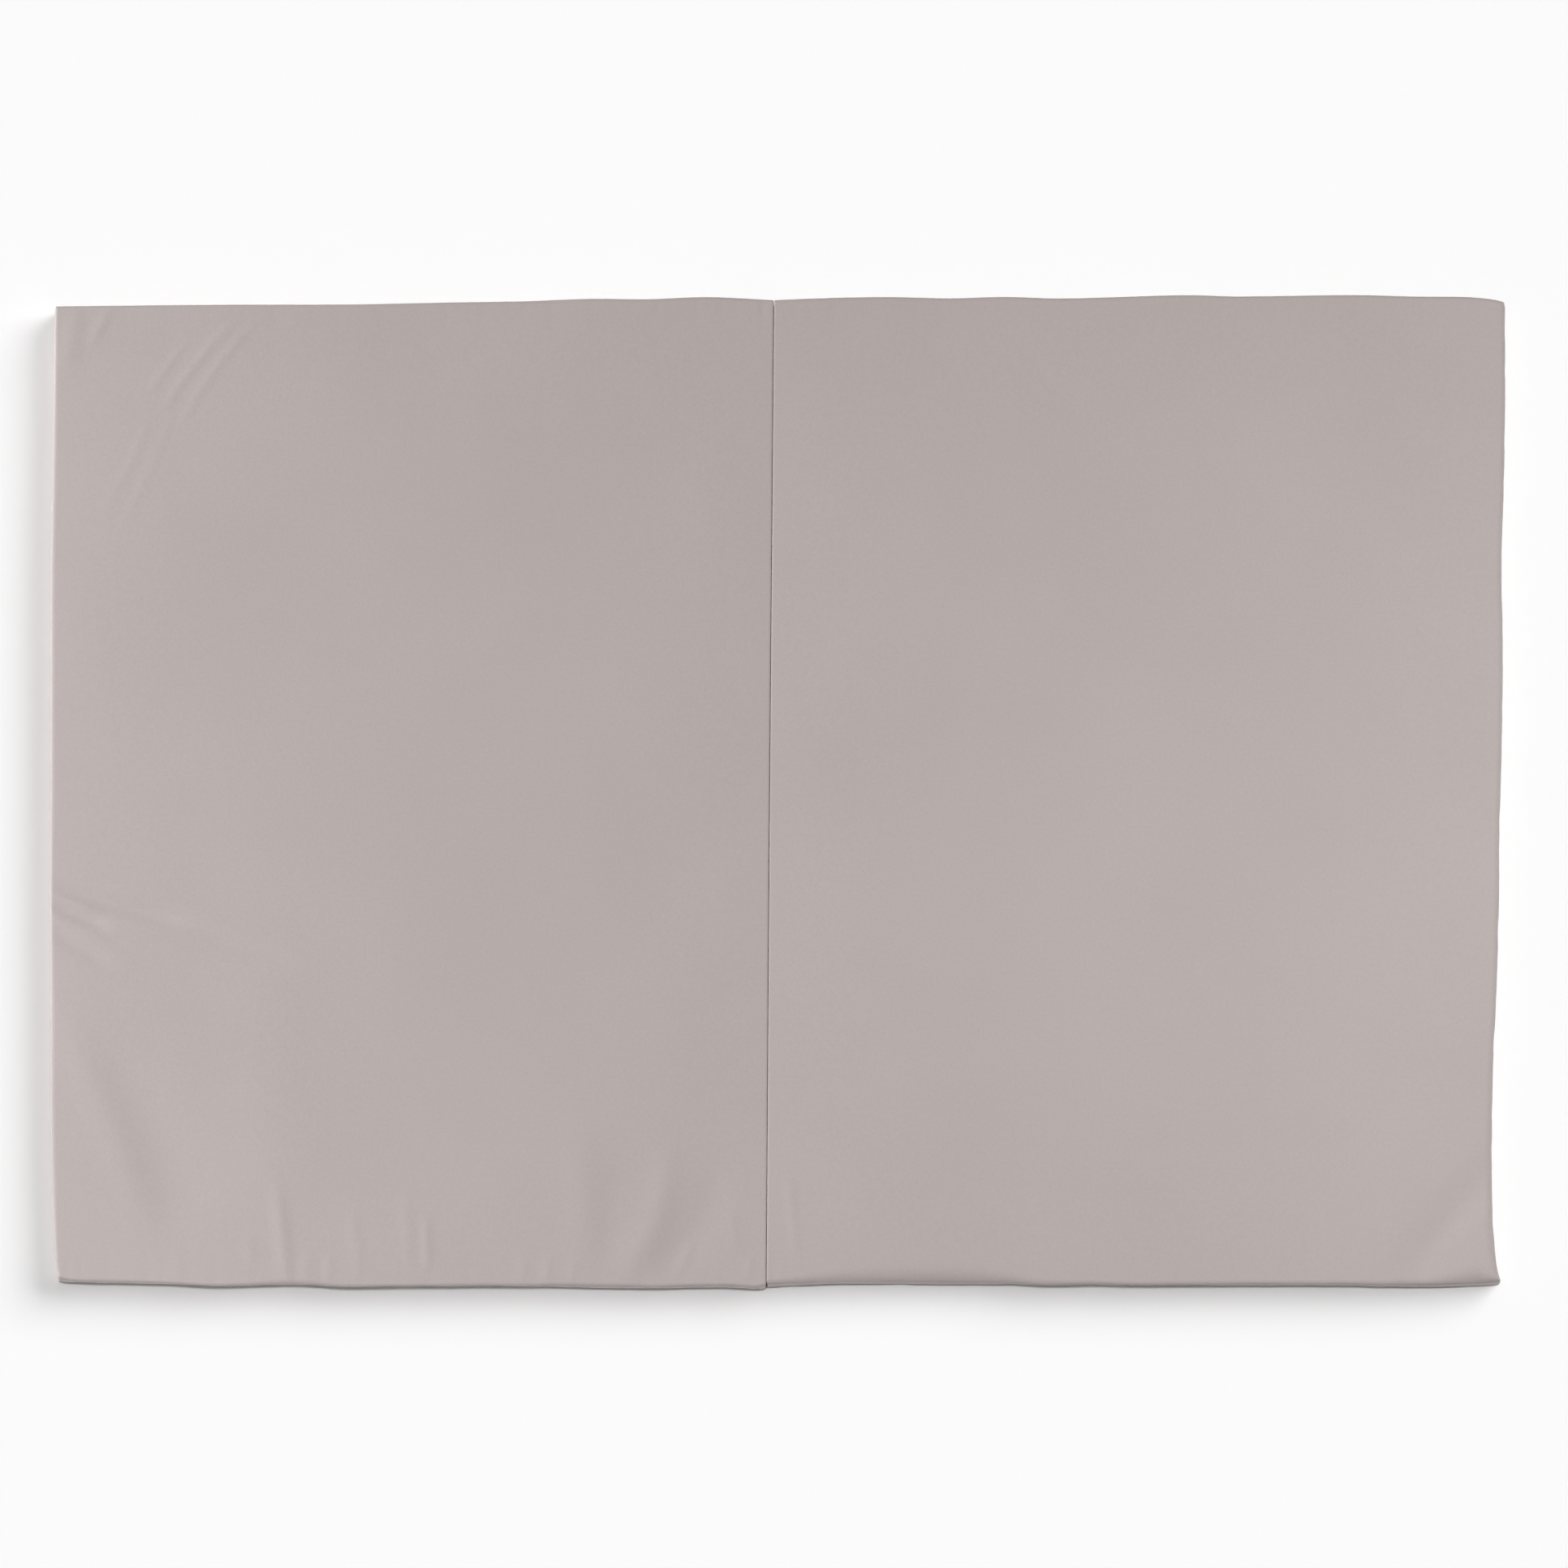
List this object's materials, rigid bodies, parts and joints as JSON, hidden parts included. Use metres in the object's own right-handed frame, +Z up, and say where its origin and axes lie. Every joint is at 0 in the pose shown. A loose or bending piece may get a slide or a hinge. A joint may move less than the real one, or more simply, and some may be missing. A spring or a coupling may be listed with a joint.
{
  "type": "folding padded mat",
  "caption": "Folding floor mat of two flat padded panels in smooth faux leather, side by side on one cover underside that is the fold.",
  "frame": {"origin": "on the ground under the middle of the open mat", "axes": "+X along the mat from the left panel to the right one, +Y across it to the back edge, +Z up"},
  "size_m": [1.2032, 0.8287, 0.0335],
  "materials": {
    "cover": "matte, fine-grained faux leather",
    "underside": "matte, fine-grained faux leather"
  },
  "bodies": {
    "root": {"panel_left": "cover", "panel_right": "cover", "base_sheet": "underside"}
  },
  "joints": []
}
